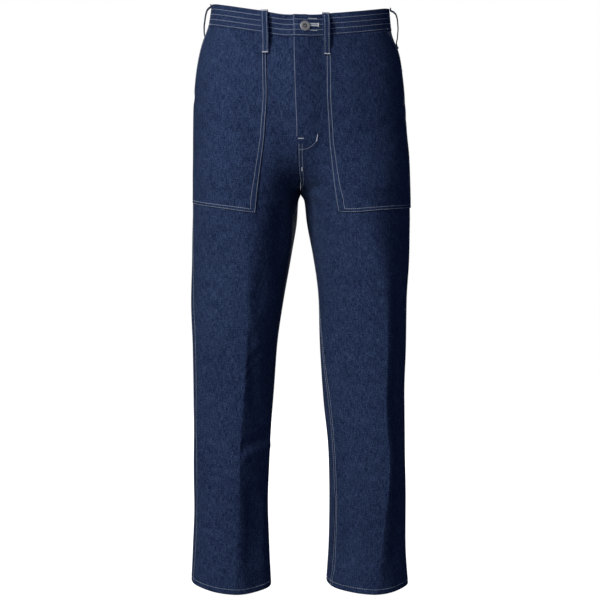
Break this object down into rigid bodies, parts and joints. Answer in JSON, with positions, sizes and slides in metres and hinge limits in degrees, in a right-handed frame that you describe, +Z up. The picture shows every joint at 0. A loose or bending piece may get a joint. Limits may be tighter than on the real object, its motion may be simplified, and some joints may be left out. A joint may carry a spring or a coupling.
{
  "type": "trousers",
  "caption": "Straight denim work trousers with patch pockets, belt loops and a buttoned waistband, hollow and filled out as when worn.",
  "frame": {"origin": "mount waist_ring: the middle of the waist ring, level with its top edge at the sides", "axes": "+Z up towards the waist, front towards -Y, the wearer's left leg on +X"},
  "size_m": [0.3871, 0.2951, 1.028],
  "materials": {
    "denim": "rigid dark indigo denim, matt",
    "button_metal": "grey metal, satin"
  },
  "bodies": {
    "root": {"front_right": "denim", "front_left": "denim", "back_right": "denim", "back_left": "denim", "waistband_right": "denim", "waistband_left": "denim", "pocket_right": "denim", "pocket_left": "denim", "loop_front_right": "denim", "loop_front_left": "denim", "loop_side_right": "denim", "loop_side_left": "denim", "loop_back": "denim", "button": "button_metal"}
  },
  "joints": []
}
